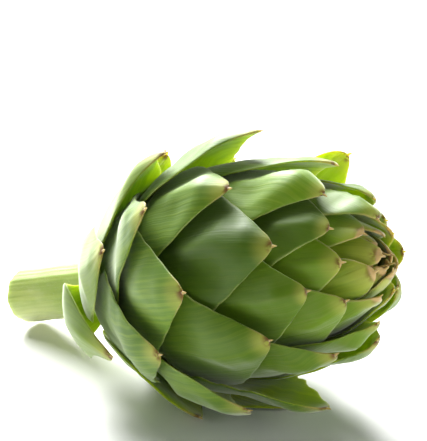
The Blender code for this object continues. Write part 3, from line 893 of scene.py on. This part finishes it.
bud_skin = bract_material("bud_skin", young=(0.34, 0.46, 0.018), old=(0.32, 0.46, 0.014), bloom_share=0.10,
                          glow=outer_glow)
parts = []
for number in range(bract_count, blade_count):
    parts.append(blade(number, bud_rows, bud_columns, bud_sink))
core_end = float(steps[np.searchsorted(outline[:, 0], core_top)])
core_points = []
for share in np.linspace(0.0, 1.0, core_rings):
    distance = np.array(core_start + (core_end - core_start) * share)
    point, _ = layer_point(core_layer + core_deepening * share ** 3, distance, core_inset)
    if point[0] > heart_end + gap + core_clearance and point[1] > core_thinnest:
        core_points.append((point[0], point[1]))
core_points.sort()
core_points.insert(0, (heart_end + gap, core_points[0][1] - core_step))
core_points.insert(0, (heart_end + gap, pole_radius))
core_points.append((core_points[-1][0] + core_point, pole_radius))
core_points = np.array(core_points)
around = np.linspace(0.0, math.tau, core_columns, endpoint=False)
ring, turn = np.meshgrid(np.arange(len(core_points)), around, indexing="ij")
core = to_world(core_points[ring, 0], core_points[ring, 1], turn).reshape(-1, 3)
core_look = {"inside": 0.0, "tone": 0.5, "age": 1.0, "edge": 0.3, "from_tip": 3.0, "tip_near": 3.0}
core_values = {key: np.full(len(core), value) for key, value in core_look.items()}
parts.append((core, tube_faces(len(core_points), core_columns), np.full((len(core), 2), 0.5), core_values))
starts = np.cumsum([0] + [len(part[0]) for part in parts])
bud_values = {key: np.concatenate([part[3][key] for part in parts]) for key in core_look}
make_piece("inner_bud_skin", np.concatenate([part[0] for part in parts]),
           np.concatenate([part[1] + start for part, start in zip(parts, starts)]),
           np.concatenate([part[2] for part in parts]), bud_values, [bud_skin],
           "inner_bud")

# Floor: a plain white table top that the head lies on, matt and wide enough to fill every view. It is
# the stage and isn't part of the object.
floor_reach = 6.0
table_white = (0.93, 0.93, 0.93, 1.0)

floor_white, _, shader = new_material("floor_white")
shader.inputs["Base Color"].default_value = table_white
shader.inputs["Roughness"].default_value = 0.55
floor_mesh = bpy.data.meshes.new("floor")
floor_corners = [(x * floor_reach, y * floor_reach, 0.0) for x, y in ((-1, -1), (1, -1), (1, 1), (-1, 1))]
floor_mesh.from_pydata(floor_corners, [], [(0, 1, 2, 3)])
floor_mesh.materials.append(floor_white)
floor = bpy.data.objects.new("floor", floor_mesh)
bpy.context.scene.collection.objects.link(floor)

# Light: a broad lamp behind the head and to its left, a large soft box above it, and two weak ones that
# fill the left side and the right front. The directions are those that the camera sees.
camera_turn = math.radians(37.82)
right = np.array((math.cos(camera_turn), math.sin(camera_turn), 0.0))
toward = np.array((math.sin(camera_turn), -math.cos(camera_turn), 0.0))
up = np.array((0.0, 0.0, 1.0))
surround_white = (0.97, 0.985, 1.0, 1.0)

surround = bpy.data.worlds.new("surround")
surround.use_nodes = True
surround.node_tree.nodes["Background"].inputs["Color"].default_value = surround_white
surround.node_tree.nodes["Background"].inputs["Strength"].default_value = 0.10
bpy.context.scene.world = surround


def lamp(name, kind, place, target, energy, size):
    """A sun with an angle, or a square box with a side, that shines from its place at its target."""
    data = bpy.data.lights.new(name, kind)
    data.energy = energy
    if kind == "SUN":
        data.angle = size
    else:
        data.shape = "SQUARE"
        data.size = size
    holder = bpy.data.objects.new(name, data)
    holder.location = tuple(place)
    holder.rotation_euler = Vector(np.array(target) - place).to_track_quat("-Z", "Y").to_euler()
    bpy.context.scene.collection.objects.link(holder)


lamp("key", "SUN", -toward * 0.96 - right * 0.27 + up * 0.50, (0, 0, 0.0), 5.0, math.radians(22))
lamp("back_box", "AREA", -toward * 0.80 - right * 0.35 + up * 0.95, (0, 0, 0.05), 31.0, 0.9)
lamp("left_box", "AREA", -right * 1.0 + toward * 0.10 + up * 0.15, (0, 0, 0.05), 2.6, 0.6)
lamp("right_card", "AREA", right * 0.80 + toward * 0.55 + up * 0.25, (0, 0, 0.04), 4.6, 0.9)

# Camera: it looks down at the head from in front, with the tip to the right and the stem to the left.
# The scale of the picture and the place of the head's middle in it are in pixels of its own frame.
camera_rise = math.radians(24.0)
camera_distance = 0.65831
picture_width = 427
picture_height = 441
pixels_per_mm = 2.90
head_x = 243.91
head_y = 273.72
sensor_width = 36.0

back = toward * math.cos(camera_rise) + up * math.sin(camera_rise)
camera_data = bpy.data.cameras.new("camera")
camera_data.sensor_width = sensor_width
camera_data.lens = pixels_per_mm * camera_distance * 1000 / picture_height * sensor_width
camera_data.shift_x = -(head_x - picture_width / 2) / picture_height
camera_data.shift_y = (head_y - picture_height / 2) / picture_height
camera_data.clip_start = 0.01
camera_data.clip_end = 50.0
camera = bpy.data.objects.new("camera", camera_data)
camera.location = tuple(head_middle + back * camera_distance)
camera.rotation_euler = Vector(-back).to_track_quat("-Z", "Y").to_euler()
bpy.context.scene.collection.objects.link(camera)
bpy.context.scene.camera = camera
bpy.context.scene.view_settings.view_transform = "Standard"

bpy.context.view_layer.update()
